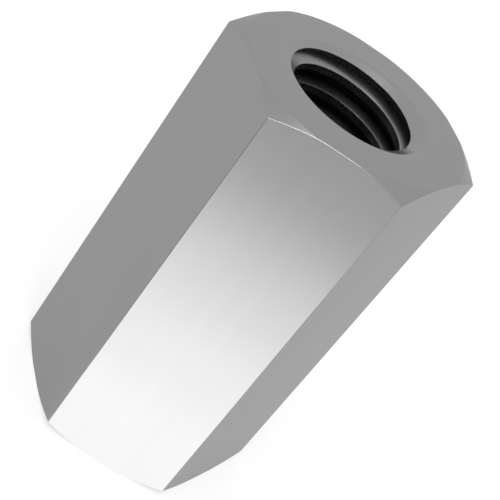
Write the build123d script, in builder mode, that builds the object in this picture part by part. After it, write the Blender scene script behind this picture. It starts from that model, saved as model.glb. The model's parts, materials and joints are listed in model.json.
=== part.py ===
from build123d import *
from build123d.topology import SkipClean

import os
from math import ceil, radians, sqrt, tan

# Coupling nut: a long hexagon nut with one internal thread from end to end.
# Sizes are in millimetres and degrees.
# The bore runs along Z over the origin. The lower end face lies at Z = 0, and two of the
# six flats face along X.

# Hexagon
across_flats = 8.0
length = 15.0
hexagon_turn = 30.0  # from a corner on the X axis, so that two flats face along X

# Chamfer that turns the corners down at both ends
chamfer_angle = 30.0  # between the end face and the chamfer
chamfer_circle_oversize = 0.04  # the chamfer starts on a circle this much wider than the flats
chamfer_overrun = 1.0  # the turned cone runs on this far outside the corners

# Right-hand internal thread
thread_size = 5.0  # outer size of the screw that fits
thread_pitch = 0.8
thread_angle = 60.0  # between the two flanks of the groove
crest_allowance = 0.10  # the hole through the crests is this much wider than the basic one
flank_allowance = 0.04  # the groove lies this much further out than the basic one
groove_depth_at_start = 0.52  # below the upper face, of the groove's middle on the +X side

# Countersink at both ends of the thread
countersink_angle = 120.0  # between opposite sides of the cone
countersink_margin = 0.04  # from the root of the thread out to the countersink's rim

# Hexagon worked out
corner_radius = across_flats / sqrt(3)
chamfer_circle_radius = (across_flats + chamfer_circle_oversize) / 2
chamfer_reach = corner_radius - chamfer_circle_radius + chamfer_overrun
chamfer_drop = chamfer_reach * tan(radians(chamfer_angle))

# Thread worked out, from the triangle with the pitch as its base
triangle_height = thread_pitch / 2 / tan(radians(thread_angle / 2))
crest_radius = (thread_size + crest_allowance) / 2 - triangle_height * 5 / 8
flank_radius = (thread_size + flank_allowance) / 2 - triangle_height * 3 / 8
root_radius = (thread_size + flank_allowance) / 2
root_flat = thread_pitch / 8

# Countersink worked out
countersink_radius = root_radius + countersink_margin
countersink_depth = countersink_radius / tan(radians(countersink_angle / 2))

# The groove's cutter reaches a little way in from the crests
cutter_reach = 0.1
cutter_radius = crest_radius - cutter_reach
cutter_half_width = thread_pitch / 4 + (flank_radius - cutter_radius) * tan(radians(thread_angle / 2))

# Turns of the groove, from clear of the lower face to clear of the upper one
turns_below = ceil((length - groove_depth_at_start + cutter_half_width) / thread_pitch) + 1
turns_above = ceil((groove_depth_at_start + cutter_half_width) / thread_pitch)
groove_foot = length - groove_depth_at_start - turns_below * thread_pitch

# The crests' surface is kept in patches, each a small share of a turn
crest_patches = 6

# One turn of the thread's groove, which starts on the +X side
with BuildPart() as groove_turn:
    with BuildLine() as turn_path:
        Helix(pitch=thread_pitch, height=thread_pitch, radius=root_radius)
    with BuildSketch(Plane.XZ) as groove_section:
        with BuildLine():
            Polyline(
                (cutter_radius, -cutter_half_width),
                (root_radius, -root_flat / 2),
                (root_radius, root_flat / 2),
                (cutter_radius, cutter_half_width),
                close=True,
            )
        make_face()
    sweep(sections=groove_section.sketch, path=turn_path.wire(), is_frenet=True)

with BuildPart() as coupling_nut:
    # Hexagon bar
    with BuildSketch():
        RegularPolygon(
            radius=across_flats / 2, side_count=6, major_radius=False, rotation=hexagon_turn
        )
    extrude(amount=length)

    # Both ends turned to a cone outside the chamfer circle
    with BuildSketch(Plane.XZ):
        with BuildLine():
            Polyline(
                (0, 0),
                (chamfer_circle_radius, 0),
                (chamfer_circle_radius + chamfer_reach, chamfer_drop),
                (chamfer_circle_radius + chamfer_reach, length - chamfer_drop),
                (chamfer_circle_radius, length),
                (0, length),
                close=True,
            )
        make_face()
    revolve(axis=Axis.Z, mode=Mode.INTERSECT)

    with SkipClean():
        # Hole through the crests of the thread, cut as equal slices round the axis
        with PolarLocations(0, crest_patches):
            Cylinder(
                radius=crest_radius,
                height=length,
                arc_size=360 / crest_patches,
                align=(Align.NONE, Align.NONE, Align.MIN),
                mode=Mode.SUBTRACT,
            )

        # Countersinks
        with Locations(Location((0, 0, length)), Location((0, 0, 0), (180, 0, 0))):
            Cone(
                bottom_radius=0,
                top_radius=countersink_radius,
                height=countersink_depth,
                align=(Align.CENTER, Align.CENTER, Align.MAX),
                mode=Mode.SUBTRACT,
            )

        # Thread, one turn on top of the other
        turns = range(turns_below + turns_above)
        with Locations(*[(0, 0, groove_foot + thread_pitch * turn) for turn in turns]):
            add(groove_turn.part, mode=Mode.SUBTRACT)

coupling_nut.part.label = "coupling_nut"

os.makedirs("parts", exist_ok=True)
export_step(coupling_nut.part, "parts/coupling_nut.step")
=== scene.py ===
import json
from math import cos, pi, radians, sin, tan

import bmesh
import bpy
import numpy as np
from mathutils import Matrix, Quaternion, Vector


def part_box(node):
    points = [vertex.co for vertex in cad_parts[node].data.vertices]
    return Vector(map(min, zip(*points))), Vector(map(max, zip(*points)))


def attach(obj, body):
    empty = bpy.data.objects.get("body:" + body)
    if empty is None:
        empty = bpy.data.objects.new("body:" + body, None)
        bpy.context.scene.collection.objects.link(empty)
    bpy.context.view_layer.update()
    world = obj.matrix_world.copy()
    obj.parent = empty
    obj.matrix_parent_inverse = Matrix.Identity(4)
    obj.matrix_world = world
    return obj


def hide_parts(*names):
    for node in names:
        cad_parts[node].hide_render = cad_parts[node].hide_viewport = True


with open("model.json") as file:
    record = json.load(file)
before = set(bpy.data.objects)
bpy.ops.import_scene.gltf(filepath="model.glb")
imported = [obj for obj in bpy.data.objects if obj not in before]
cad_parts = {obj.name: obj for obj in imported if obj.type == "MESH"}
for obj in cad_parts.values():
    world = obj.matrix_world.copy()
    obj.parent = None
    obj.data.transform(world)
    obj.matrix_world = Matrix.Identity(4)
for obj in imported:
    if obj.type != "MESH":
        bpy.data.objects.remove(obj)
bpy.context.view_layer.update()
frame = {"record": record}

# Coupling nut: the finished look of a long hexagon nut that stands on its end.
# The dictionaries give lengths in millimetres and angles in degrees, and the meshes are in metres.
# Every azimuth is counted from the +X side towards +Y.
mm = 0.001
nutLow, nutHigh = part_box("coupling_nut")
nutLength = (nutHigh.z - nutLow.z) / mm
acrossFlats = (nutHigh.x - nutLow.x) / mm
scene = bpy.context.scene


def directionTo(azimuth, elevation):
    azimuth, elevation = radians(azimuth), radians(elevation)
    return Vector((cos(azimuth) * cos(elevation), sin(azimuth) * cos(elevation), sin(elevation)))


# Camera

photoCamera = {
    "aim": (0.273, -0.006, 8.026),
    "distance": 42.416,
    "azimuth": 231.044,
    "elevation": 32.028,
    "roll": -37.613,     # about the camera's own line of sight
    "lens": 89.805,
    "sensor": 36,
    "clip": (1, 10000),  # nearest and furthest that it sees
}


def makeCamera():
    lens = bpy.data.cameras.new("photoCamera")
    lens.lens = photoCamera["lens"]
    lens.sensor_width = photoCamera["sensor"]
    lens.clip_start, lens.clip_end = (distance * mm for distance in photoCamera["clip"])
    camera = bpy.data.objects.new("photoCamera", lens)
    scene.collection.objects.link(camera)
    back = directionTo(photoCamera["azimuth"], photoCamera["elevation"])
    camera.location = (Vector(photoCamera["aim"]) + back * photoCamera["distance"]) * mm
    camera.rotation_mode = "QUATERNION"
    level = (-back).to_track_quat("-Z", "Y")
    camera.rotation_quaternion = Quaternion(-back, radians(photoCamera["roll"])) @ level
    scene.camera = camera


makeCamera()
print("camera set")


# The nut's outside: a hexagon bar with both ends turned to a cone

hexagonBar = {
    "edgeRound": 0.032,             # radius left on every outside edge
    "circleEase": 0.03,             # the cone fades in over this distance either side of its circle
    "chamferAngle": 30,             # between the end face and the cone
    "chamferCircleOversize": 0.04,  # the cone starts on a circle this much wider than the flats
    "columnsPerFlat": 32,
    "columnsPerCorner": 6,
    "stepsFaceToCone": 6,
    "stepsConeToFlat": 6,
}
sixth = pi / 3  # of a full turn, from one flat to the next


def turnBetween(first, second, share):
    # directions part of the way from one to another
    angle = np.arccos((first * second).sum(-1, keepdims=True))
    return (np.sin((1 - share) * angle) * first + np.sin(share * angle) * second) / np.sin(angle)


def hexagonOutline():
    # the hexagon drawn in by the edge radius, with the wall's direction at each column of points
    apothem = acrossFlats / 2 - hexagonBar["edgeRound"]
    halfSide = apothem * tan(sixth / 2)
    cornerColumns = hexagonBar["columnsPerCorner"]
    places, walls = [], []
    for side in range(6):
        turn = side * sixth
        out = np.array([cos(turn), sin(turn)])
        along = np.array([-sin(turn), cos(turn)])
        for offset in np.linspace(-halfSide, halfSide, hexagonBar["columnsPerFlat"] + 1):
            places.append(apothem * out + offset * along)
            walls.append(out)
        for column in range(1, cornerColumns):
            between = turn + sixth * column / cornerColumns
            places.append(apothem * out + halfSide * along)
            walls.append(np.array([cos(between), sin(between)]))
    return np.array(places), np.array(walls)


def outsideRows():
    # rows of places and normals, from the upper end face over the cone and round its edge to the flats
    edge, ease = hexagonBar["edgeRound"], hexagonBar["circleEase"]
    slope = radians(hexagonBar["chamferAngle"])
    circle = (acrossFlats + hexagonBar["chamferCircleOversize"]) / 2
    outline, walls = hexagonOutline()
    reach = np.linalg.norm(outline, axis=1)
    radial = outline / reach[:, None]
    wallOut = np.c_[walls, np.zeros(len(walls))]
    # the end face and the cone, both drawn in by the edge radius, meet on this circle
    innerCircle = circle - edge * (1 - cos(slope)) / sin(slope)
    radii = np.linspace(innerCircle - ease, innerCircle + ease, hexagonBar["stepsFaceToCone"])
    rows = []
    for radius in (*radii, np.inf):
        radius = np.minimum(radius, reach)
        entered = np.clip(radius - innerCircle + ease, 0, 2 * ease)
        drop = tan(slope) * (entered * entered / (4 * ease) + np.maximum(radius - innerCircle - ease, 0))
        tilt = np.arctan(tan(slope) * entered / (2 * ease))[:, None]
        coneOut = np.c_[radial * np.sin(tilt), np.cos(tilt)]
        places = np.c_[radial * radius[:, None], nutLength - edge - drop]
        rows.append((places + edge * coneOut, coneOut))
    for share in np.linspace(0, 1, hexagonBar["stepsConeToFlat"]):
        out = turnBetween(coneOut, wallOut, share)
        rows.append((places + edge * out, out))
    return rows


# The nut's inside: a right-hand thread, with a countersink at both ends

threadedBore = {
    "pitch": 0.8,
    "angle": 60,                 # between the two flanks of the groove
    "crestRadius": frame["record"]["mounts"][0]["dims"]["r_mm"],
    "rootRadius": 2.52,
    "flankRadius": 2.26,         # where groove and ridge are equally wide
    "grooveDepthAtStart": 0.52,  # of the groove's middle, below the upper face, on the +X side
    "cornerSoft": 0.0015,        # how far the corners of crest and root are broken
    "columns": 112,
    "flankRows": 5,
    "spareTurns": 3,             # of the flat mesh past both ends, for its slanting rows
}
countersink = {
    "rimRadius": 2.56,
    "angle": 120,         # between opposite sides of the cone
    "rimEase": 0.11,      # from the sharp rim to where the rounding meets the end face
    "rings": 6,           # over the rounding
    "soft": 0.005,        # how far the edges between cone and thread are broken
    "softPair": 0.003,    # the mesh has a row this far either side of those edges
    "rimCuts": (0.7, 1),  # and rows at these shares of the rounding's depth
    "trimInside": 0.012,  # the thread's mesh ends this far inside the sharp rim
    "fineDepth": 0.34,    # the mesh is finer down to here
    "fineCuts": 2,
}
closeness = {
    # distances below which places in a mesh count as one
    "trim": 1e-6,
    "cut": 1e-5,
    "merge": 2e-5,
    "seam": 1e-4,
    "rim": 1e-3,
}
grooveStart = nutLength - threadedBore["grooveDepthAtStart"]
flankSteepness = 1 / tan(radians(threadedBore["angle"] / 2))  # change of radius over height
sinkSlope = radians(90 - countersink["angle"] / 2)            # of the cone, below the end face
rimRounding = countersink["rimEase"] / tan(sinkSlope / 2)     # radius of the rounding on its rim


def softMax(a, b, soft):
    # the larger of two, eased where they are closer than this
    near = np.maximum(soft - np.abs(a - b), 0) / soft
    return np.maximum(a, b) + near * near * soft / 4


def softMin(a, b, soft):
    return -softMax(-a, -b, soft)


def grooveRadius(offset):
    # offset runs along the bore from the groove's middle
    pitch, soft = threadedBore["pitch"], threadedBore["cornerSoft"]
    away = np.abs((offset + pitch / 2) % pitch - pitch / 2)
    flank = threadedBore["flankRadius"] + (pitch / 4 - away) * flankSteepness
    return softMin(softMax(flank, threadedBore["crestRadius"], soft), threadedBore["rootRadius"], soft)


def grooveRows():
    # heights from the groove's middle over one pitch, with a close pair at each corner
    pitch = threadedBore["pitch"]
    half = threadedBore["cornerSoft"] / flankSteepness
    rootCorner, crestCorner = (pitch / 4 + (threadedBore["flankRadius"] - threadedBore[name]) / flankSteepness
                               for name in ("rootRadius", "crestRadius"))
    flank = np.linspace(rootCorner + half, crestCorner - half, threadedBore["flankRows"])
    above = [rootCorner - half, *flank, crestCorner + half]
    return [*(-height for height in reversed(above)), 0, *above, pitch / 2]


def sinkRadius(depth):
    # the cone, with its rim rounded over into the end face
    rim, ease = countersink["rimRadius"], countersink["rimEase"]
    inRounding = np.clip(rimRounding - depth, 0, rimRounding)
    rounded = rim + ease - np.sqrt(rimRounding * rimRounding - inRounding * inRounding)
    return np.where(depth < ease * sin(sinkSlope), rounded, rim - depth / tan(sinkSlope))


def sinkDepth(radius):
    # of the rounding, at a radius that lies on it
    inward = countersink["rimRadius"] + countersink["rimEase"] - radius
    return rimRounding - np.sqrt(rimRounding * rimRounding - inward * inward)


def boreRadius(angle, height):
    rise = threadedBore["pitch"] * angle / (2 * pi)
    groove = grooveRadius(height - rise - grooveStart)
    ends = sinkRadius(np.clip(np.minimum(height, nutLength - height), 0, None))
    return softMax(groove, ends, countersink["soft"])


def boreNormals(angle, height):
    # the metal lies outside the bore, so its surface faces the axis
    step = 1e-4
    radius = boreRadius(angle, height)
    perTurn = (boreRadius(angle + step, height) - boreRadius(angle - step, height)) / (2 * step)
    perHeight = (boreRadius(angle, height + step) - boreRadius(angle, height - step)) / (2 * step)
    outward = np.stack([np.cos(angle), np.sin(angle), np.zeros_like(angle)], -1)
    along = np.stack([-np.sin(angle), np.cos(angle), np.zeros_like(angle)], -1)
    normals = -outward + along * (perTurn / radius)[..., None]
    normals[..., 2] += perHeight
    return normals / np.linalg.norm(normals, axis=-1, keepdims=True)


def flatThread():
    # the bore laid out flat, with the angle as x, the height as y and rows that follow the thread
    pitch, columns, spare = (threadedBore[name] for name in ("pitch", "columns", "spareTurns"))
    turns = range(-int(grooveStart / pitch) - spare, spare)
    levels = [grooveStart + turn * pitch + row for turn in turns for row in grooveRows()]
    step = 2 * pi / columns
    mesh = bmesh.new()
    grid = [[mesh.verts.new((k * step, level + pitch * k / columns, 0)) for k in range(columns + 1)]
            for level in levels]
    for lower, upper in zip(grid, grid[1:]):
        for k in range(columns):
            mesh.faces.new((lower[k], lower[k + 1], upper[k + 1], upper[k]))
    return mesh


def trimEnds(mesh, trim):
    # both ends of the flat mesh are cut off square at this depth
    for level, side in ((nutLength - trim, 1), (trim, -1)):
        everything = mesh.verts[:] + mesh.edges[:] + mesh.faces[:]
        bmesh.ops.bisect_plane(mesh, geom=everything, plane_co=(0, level, 0), plane_no=(0, side, 0),
                               clear_outer=True, dist=closeness["trim"])


def nearAnEnd(item):
    # whether an edge or a face of the flat mesh lies where the mesh is finer
    return all(min(v.co.y, nutLength - v.co.y) < countersink["fineDepth"] for v in item.verts)


def meetingLines():
    # where the cone meets crest, root and flanks on the flat mesh, as the lines' height at x = 0 and climb
    pitch, rim = threadedBore["pitch"], countersink["rimRadius"]
    lines = []
    for name in ("crestRadius", "rootRadius"):
        depth = (rim - threadedBore[name]) * tan(sinkSlope)
        lines += [(depth, 0), (nutLength - depth, 0)]
    # cone and flanks are equally steep, so they meet on lines that climb half as fast as the thread,
    # two at each end
    climb = pitch / (2 * pi) / 2
    apart = ((rim - threadedBore["flankRadius"]) * tan(sinkSlope) - pitch / 4) / 2
    for below in (0, pitch):
        lines.append(((grooveStart % pitch - below) / 2 + apart, climb))
        lines.append(((nutLength + grooveStart - below) / 2 - apart, climb))
    return lines


def refineEnds(mesh):
    # finer near both ends, with rows along the edges there, so that these stay crisp
    coarse = [edge for edge in mesh.edges if nearAnEnd(edge)]
    bmesh.ops.subdivide_edges(mesh, edges=coarse, cuts=countersink["fineCuts"], use_grid_fill=True)
    pair = countersink["softPair"]
    cuts = [(level + offset, climb) for level, climb in meetingLines() for offset in (-pair, pair)]
    for share in countersink["rimCuts"]:
        depth = share * countersink["rimEase"] * sin(sinkSlope)
        cuts += [(depth, 0), (nutLength - depth, 0)]
    faces = [face for face in mesh.faces if nearAnEnd(face)]
    edges = dict.fromkeys(edge for face in faces for edge in face.edges)
    points = dict.fromkeys(v for edge in edges for v in edge.verts)
    near = [*faces, *edges, *points]
    for level, climb in cuts:
        near = bmesh.ops.bisect_plane(mesh, geom=near, plane_co=(0, level, 0), plane_no=(-climb, 1, 0),
                                      dist=closeness["cut"])["geom"]


def rollUp(mesh):
    # from angle and height to places round the axis, with the seam closed
    angles = np.array([v.co.x for v in mesh.verts], float)
    heights = np.array([v.co.y for v in mesh.verts], float)
    radii = boreRadius(angles, heights)
    for v, x, y, z in zip(mesh.verts, radii * np.cos(angles), radii * np.sin(angles), heights):
        v.co = (x, y, z)
    bmesh.ops.remove_doubles(mesh, verts=mesh.verts[:], dist=closeness["seam"])
    mesh.verts.index_update()


def makeBore():
    # places, normals and faces of the bore, and the points round its upper and lower rim
    trim = sinkDepth(countersink["rimRadius"] - countersink["trimInside"])
    mesh = flatThread()
    trimEnds(mesh, trim)
    refineEnds(mesh)
    rollUp(mesh)
    places = np.array([v.co[:] for v in mesh.verts], float)
    faces = [[v.index for v in face.verts][::-1] for face in mesh.faces]
    openEdges = [edge for edge in mesh.edges if edge.is_boundary]
    openPoints = np.array(sorted({v.index for edge in openEdges for v in edge.verts}))
    mesh.free()
    angles = np.arctan2(places[:, 1], places[:, 0])
    rims = []
    for level in (nutLength - trim, trim):
        rim = openPoints[np.abs(places[openPoints, 2] - level) < closeness["rim"]]
        rims.append(rim[np.argsort(angles[rim])].tolist())
    return places, boreNormals(angles, places[:, 2]), faces, rims


def rimRows(angles):
    # rows of places and normals over the upper countersink's rounded rim, out to the end face
    around = np.c_[np.cos(angles), np.sin(angles)]
    innermost = countersink["rimRadius"] - countersink["trimInside"]
    outermost = countersink["rimRadius"] + countersink["rimEase"]
    rows = []
    for radius in np.linspace(innermost, outermost, countersink["rings"] + 1)[1:]:
        tilt = np.arcsin((outermost - radius) / rimRounding)
        places = np.c_[radius * around, np.full(len(angles), nutLength - sinkDepth(radius))]
        rows.append((places, np.c_[-sin(tilt) * around, np.full(len(angles), cos(tilt))]))
    return rows


# The whole nut, whose skin collects places, normals and faces

def addPoints(skin, places, normals):
    start = sum(len(block) for block in skin["places"])
    skin["places"].append(places)
    skin["normals"].append(normals)
    return list(range(start, start + len(places)))


def addRows(skin, rows, upper):
    # rows are made for the upper end, and mirrored for the lower one
    if not upper:
        flip, lift = [1, 1, -1], [0, 0, nutLength]
        rows = [(places * flip + lift, normals * flip) for places, normals in rows]
    return [addPoints(skin, places, normals) for places, normals in rows]


def addStrip(skin, lower, upper):
    # faces between two closed rows of as many points
    count = len(lower)
    for k in range(count):
        following = (k + 1) % count
        skin["faces"].append([lower[k], lower[following], upper[following], upper[k]])


def addStrips(skin, rows, upper):
    # from the bore outwards
    for inner, outer in zip(rows, rows[1:]):
        addStrip(skin, *((outer, inner) if upper else (inner, outer)))


def addEndFace(skin, inner, outer, upper):
    # triangles between the round row and the hexagon's, taken in turn on the way round the axis
    places = np.concatenate(skin["places"])
    rows, turns = [], []
    for row in (inner, outer):
        turn = np.arctan2(places[row, 1], places[row, 0]) % (2 * pi)
        order = np.argsort(turn, kind="stable")
        rows.append([row[k] for k in (*order, order[0])])
        turns.append([*turn[order], turn[order[0]] + 2 * pi])
    i, j = 0, 0
    lastInner, lastOuter = len(inner), len(outer)
    while i < lastInner or j < lastOuter:
        face = [rows[0][i], rows[1][j]]
        if j == lastOuter or (i < lastInner and turns[0][i + 1] <= turns[1][j + 1]):
            i += 1
            face.append(rows[0][i])
        else:
            j += 1
            face.append(rows[1][j])
        skin["faces"].append(face if upper else face[::-1])


def makePiece(skin, name):
    # one closed mesh: points that fall together are merged, and faces left without an area go
    places, normals = np.concatenate(skin["places"]), np.concatenate(skin["normals"])
    keys = np.round(places / closeness["merge"]).astype(np.int64)
    first, same = np.unique(keys, axis=0, return_index=True, return_inverse=True)[1:]
    same = same.reshape(-1).tolist()
    faces = [list(dict.fromkeys(same[i] for i in face)) for face in skin["faces"]]
    faces = [face for face in faces if len(face) > 2]
    mesh = bpy.data.meshes.new(name)
    mesh.from_pydata((places[first] * mm).tolist(), [], faces)
    mesh.shade_smooth()
    mesh.normals_split_custom_set_from_vertices(normals[first].tolist())
    piece = bpy.data.objects.new(name, mesh)
    scene.collection.objects.link(piece)
    return piece


def makeNut():
    skin = {"places": [], "normals": [], "faces": []}
    places, normals, faces, rims = makeBore()
    addPoints(skin, places, normals)  # first of all, so the bore's faces and rims keep their numbers
    skin["faces"] += faces
    lastRows = []
    for rim, upper in zip(rims, (True, False)):
        angles = np.arctan2(places[rim, 1], places[rim, 0])
        inside = [rim, *addRows(skin, rimRows(angles), upper)]
        outside = addRows(skin, outsideRows(), upper)
        addStrips(skin, inside, upper)
        addStrips(skin, outside, upper)
        addEndFace(skin, inside[-1], outside[0], upper)
        lastRows.append(outside[-1])
    addStrip(skin, lastRows[1], lastRows[0])
    return makePiece(skin, "couplingNut")


nut = makeNut()
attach(nut, "root")
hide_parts("coupling_nut")
print("nut built:", len(nut.data.vertices), "points,", len(nut.data.polygons), "faces")


# Nodes for the materials

noiseSpan = (0.25, 0.75)  # nearly all that the noise texture gives


def addNode(tree, kind, inputs, **settings):
    # an input is a plain value, or the output of another node
    node = tree.nodes.new("ShaderNode" + kind)
    for name, value in settings.items():
        setattr(node, name, value)
    for slot, given in inputs.items():
        if isinstance(given, bpy.types.NodeSocket):
            tree.links.new(given, node.inputs[slot])
        else:
            node.inputs[slot].default_value = given
    return node


def mathNode(tree, operation, *given):
    return addNode(tree, "Math", dict(enumerate(given)), operation=operation).outputs[0]


def vectorNode(tree, operation, *given):
    node = addNode(tree, "VectorMath", dict(enumerate(given)), operation=operation)
    return node.outputs["Value" if operation in ("LENGTH", "DOT_PRODUCT") else "Vector"]


def rangeNode(tree, value, fromSpan, toSpan, **settings):
    inputs = {"Value": value, "From Min": fromSpan[0], "From Max": fromSpan[1],
              "To Min": toSpan[0], "To Max": toSpan[1]}
    return addNode(tree, "MapRange", inputs, **settings).outputs[0]


def noiseNode(tree, vector, scale, detail=0):
    return addNode(tree, "TexNoise", {"Vector": vector, "Scale": scale, "Detail": detail}).outputs["Fac"]


# Finish of the metal

steelFinish = {
    "colour": (0.273, 0.273, 0.2735),
    "grazing": 0.81,              # share of the glancing reflection that is kept
    "roughness": 0.26,
    "grain": 1.5,                 # soft specks per millimetre
    "grainRoughness": 0.003,      # how far they change the roughness, either way
    "clouds": 0.3,                # soft patches per millimetre
    "cloudTone": 0.012,           # share by which they are lighter and darker
    "drawnLines": 3.0,            # lines per millimetre across the flats, left by the drawing of the bar
    "drawnStretch": 0.012,        # their width over their length
    "turnedRings": 3.0,           # rings per millimetre on end faces and cones, left by the lathe
    "turnedFacing": (0.2, 0.45),  # how squarely the metal faces up or down where lines give way to rings
    "lineTone": 0.01,             # share by which lines and rings are lighter and darker
    "lineRoughness": 0.003,
    "paintedRootShade": 0.3,              # share of the tone left in the thread's root, which is darkened there as painted shade
    "paintedShadeDepth": (0.2, 0.8),  # below the end face, over which the painted shade sets in
}


def surfaceLines(tree, place, facing, radius):
    # lines along the flats, and rings on all that was turned, from -1 to 1
    stretched = vectorNode(tree, "MULTIPLY", place, (1, 1, steelFinish["drawnStretch"]))
    drawn = noiseNode(tree, stretched, steelFinish["drawnLines"])
    outward = addNode(tree, "CombineXYZ", {"X": radius}).outputs[0]
    turned = noiseNode(tree, outward, steelFinish["turnedRings"])
    upward = addNode(tree, "SeparateXYZ", {0: facing}).outputs["Z"]
    onEnds = rangeNode(tree, mathNode(tree, "ABSOLUTE", upward), steelFinish["turnedFacing"], (0, 1))
    onFlats = mathNode(tree, "SUBTRACT", 1, onEnds)
    rings = mathNode(tree, "MULTIPLY", turned, onEnds)
    lines = mathNode(tree, "MULTIPLY", drawn, onFlats)
    return rangeNode(tree, mathNode(tree, "ADD", rings, lines), noiseSpan, (-1, 1))


def toneUnderPaintedShade(tree, place, radius):
    # 1 all over the nut, and less in the thread's root, where shade is painted in
    height = addNode(tree, "SeparateXYZ", {0: place}).outputs["Z"]
    fromMiddle = mathNode(tree, "ABSOLUTE", mathNode(tree, "SUBTRACT", height, nutLength / 2))
    fromEnd = mathNode(tree, "SUBTRACT", nutLength / 2, fromMiddle)
    deep = rangeNode(tree, fromEnd, steelFinish["paintedShadeDepth"], (0, 1))
    crestToRoot = (threadedBore["crestRadius"], threadedBore["rootRadius"])
    inRoot = rangeNode(tree, radius, crestToRoot, (0, 1 - steelFinish["paintedRootShade"]))
    inBore = mathNode(tree, "LESS_THAN", radius, countersink["rimRadius"])
    # painted shade: the thread's root is made darker, more so deeper in the bore
    shadePainted = mathNode(tree, "MULTIPLY", mathNode(tree, "MULTIPLY", deep, inRoot), inBore)
    return mathNode(tree, "SUBTRACT", 1, shadePainted)


def makeSteel():
    steel = bpy.data.materials.new("plainSteel")
    steel.use_nodes = True
    tree = steel.node_tree
    where = addNode(tree, "TexCoord", {})
    place = vectorNode(tree, "MULTIPLY", where.outputs["Object"], (1 / mm,) * 3)
    radius = vectorNode(tree, "LENGTH", vectorNode(tree, "MULTIPLY", place, (1, 1, 0)))
    lines = surfaceLines(tree, place, where.outputs["Normal"], radius)
    # roughness varies a little with the specks and the lines
    depth = steelFinish["grainRoughness"]
    grain = rangeNode(tree, noiseNode(tree, place, steelFinish["grain"]), noiseSpan, (-depth, depth))
    uneven = mathNode(tree, "ADD", grain, mathNode(tree, "MULTIPLY", lines, steelFinish["lineRoughness"]))
    roughness = mathNode(tree, "ADD", uneven, steelFinish["roughness"])
    # tone varies in soft patches and with the lines, and is darker in the thread's root as painted shade
    depth = steelFinish["cloudTone"]
    patches = noiseNode(tree, place, steelFinish["clouds"], detail=1)
    clouds = rangeNode(tree, patches, noiseSpan, (1 - depth, 1 + depth))
    patchy = mathNode(tree, "ADD", clouds, mathNode(tree, "MULTIPLY", lines, steelFinish["lineTone"]))
    tone = mathNode(tree, "MULTIPLY", patchy, toneUnderPaintedShade(tree, place, radius))
    scale = {0: steelFinish["colour"], "Scale": tone}
    colour = addNode(tree, "VectorMath", scale, operation="SCALE").outputs["Vector"]
    shader = tree.nodes["Principled BSDF"]
    shader.inputs["Metallic"].default_value = 1
    shader.inputs["Specular Tint"].default_value = [steelFinish["grazing"]] * 3 + [1]
    # the plain values stand in where the linked ones can't be read
    shader.inputs["Roughness"].default_value = steelFinish["roughness"]
    shader.inputs["Base Color"].default_value = (*steelFinish["colour"], 1)
    tree.links.new(roughness, shader.inputs["Roughness"])
    tree.links.new(colour, shader.inputs["Base Color"])
    return steel


nut.data.materials.append(makeSteel())
print("steel finish made")


# Floor and light

studio = {
    "floorRadius": 1000,
    "floorSides": 96,
    "floorColour": (0.82, 0.82, 0.82, 1),
    "floorWhite": 0.6,            # share of plain white that the floor shows to the camera and to mirrors
    "darkUnder": (2.6, 3.8),      # painted shade under the nut: that white fades out between these distances from the bore's axis
    "paintedReflectionCorner": (-4.0, -2.31),  # only mirrors see this dark patch painted on the floor, a painted dark reflection on the metal; it fans out from this corner
    "paintedReflectionAzimuth": 189,
    "paintedReflectionEdge": (42, 24),         # from its middle, over which it sets in
    "flagDark": 1.0,
    "skyBright": 1.0,
}
softBoxes = {
    # direction and distance from the nut's foot, width and height, and brightness, where white is 1
    "high": {"azimuth": 236, "elevation": 57, "distance": 300, "size": (170, 130), "bright": 6.4},
    "above": {"azimuth": 210, "elevation": 82, "distance": 300, "size": (85, 85), "bright": 1.9},
}
frontCards = {
    # glowing cards on the floor, one over the other, that light the flat on this side from its foot
    "azimuth": 240,
    "start": 3.9,                  # all from here on the way out from the bore's axis
    "reaches": (9, 14, 19, 23.5),  # each to its own distance from it
    "brights": (0.25, 0.52, 0.48, 1.22),
    "width": 16,
    "sideways": 2,                 # of their middle line from the bore's axis
    "level": 0.004,                # of the lowest card, and between one and the next
}


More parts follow.
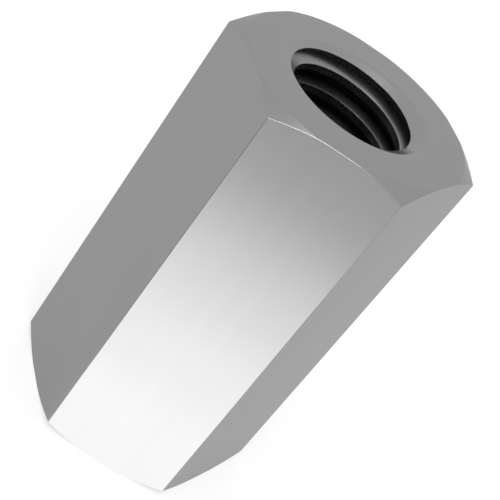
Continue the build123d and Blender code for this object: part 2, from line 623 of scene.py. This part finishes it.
def makePaleFinish():
    material = bpy.data.materials.new("paleFloor")
    material.use_nodes = True
    tree = material.node_tree
    tree.nodes.clear()
    path = addNode(tree, "LightPath", {})
    where = addNode(tree, "NewGeometry", {}).outputs["Position"]
    # painted reflection: mirrored rays alone see a dark patch on the floor
    corner = [distance * mm for distance in (*studio["paintedReflectionCorner"], 0)]
    fromCorner = vectorNode(tree, "SUBTRACT", where, corner)
    towards = vectorNode(tree, "NORMALIZE", fromCorner)
    alike = vectorNode(tree, "DOT_PRODUCT", towards, directionTo(studio["paintedReflectionAzimuth"], 0))
    paintedReflectionEdge = [cos(radians(angle)) for angle in studio["paintedReflectionEdge"]]
    flag = rangeNode(tree, alike, paintedReflectionEdge, (0, studio["flagDark"]), interpolation_type="SMOOTHSTEP")
    paintedReflectionSeen = mathNode(tree, "MULTIPLY", flag, path.outputs["Is Glossy Ray"])
    # camera, mirrored and refracted rays see white, but not under the nut, where shade is painted in, so none
    # comes up the bore
    seen = mathNode(tree, "MAXIMUM", path.outputs["Is Camera Ray"], path.outputs["Is Glossy Ray"])
    seen = mathNode(tree, "MAXIMUM", seen, path.outputs["Is Transmission Ray"])
    darkUnder = [distance * mm for distance in studio["darkUnder"]]
    clear = rangeNode(tree, vectorNode(tree, "LENGTH", where), darkUnder, (0, 1))
    share = mathNode(tree, "MULTIPLY", mathNode(tree, "MULTIPLY", seen, studio["floorWhite"]), clear)
    matt = addNode(tree, "BsdfDiffuse", {"Color": studio["floorColour"]})
    # the floor's white is dimmed where the painted dark patch lies, for mirrored rays only
    white = addNode(tree, "Emission", {"Strength": mathNode(tree, "SUBTRACT", 1, paintedReflectionSeen)})
    mix = addNode(tree, "MixShader", {"Fac": share, 1: matt.outputs[0], 2: white.outputs[0]})
    addNode(tree, "OutputMaterial", {"Surface": mix.outputs[0]})
    return material


def makeFloor():
    disc = bmesh.new()
    bmesh.ops.create_circle(disc, cap_ends=True, radius=studio["floorRadius"] * mm,
                            segments=studio["floorSides"])
    mesh = bpy.data.meshes.new("floor")
    disc.to_mesh(mesh)
    disc.free()
    mesh.materials.append(makePaleFinish())
    floor = bpy.data.objects.new("floor", mesh)
    scene.collection.objects.link(floor)


def makeSky():
    # an even white
    world = bpy.data.worlds.new("studio")
    world.use_nodes = True
    sky = world.node_tree.nodes["Background"]
    sky.inputs["Color"].default_value = (1, 1, 1, 1)
    sky.inputs["Strength"].default_value = studio["skyBright"]
    scene.world = world


def makeLamp(name, middle, facing, turn, size, bright):
    light = bpy.data.lights.new(name, "AREA")
    light.shape = "RECTANGLE"
    light.size, light.size_y = (side * mm for side in size)
    light.energy = bright * pi * light.size * light.size_y
    lamp = bpy.data.objects.new(name, light)
    scene.collection.objects.link(lamp)
    lamp.location = middle * mm
    lamp.rotation_mode = "QUATERNION"
    lamp.rotation_quaternion = Quaternion((0, 0, 1), radians(turn)) @ facing.to_track_quat("-Z", "Y")
    lamp.visible_camera = False


def makeSoftBoxes():
    for name, box in softBoxes.items():
        out = directionTo(box["azimuth"], box["elevation"])
        makeLamp(name, out * box["distance"], -out, 0, box["size"], box["bright"])


def makeFrontCards():
    azimuth, start, level = frontCards["azimuth"], frontCards["start"], frontCards["level"]
    out, aside = directionTo(azimuth, 0), directionTo(azimuth + 90, 0)
    up = Vector((0, 0, 1))
    for number, (reach, bright) in enumerate(zip(frontCards["reaches"], frontCards["brights"])):
        middle = out * (start + reach) / 2 + aside * frontCards["sideways"] + up * level * (number + 1)
        makeLamp(f"frontCard{number}", middle, up, azimuth, (reach - start, frontCards["width"]), bright)


makeFloor()
makeSky()
makeSoftBoxes()
makeFrontCards()
scene.view_settings.view_transform = "Standard"
print("floor, sky and lamps set")
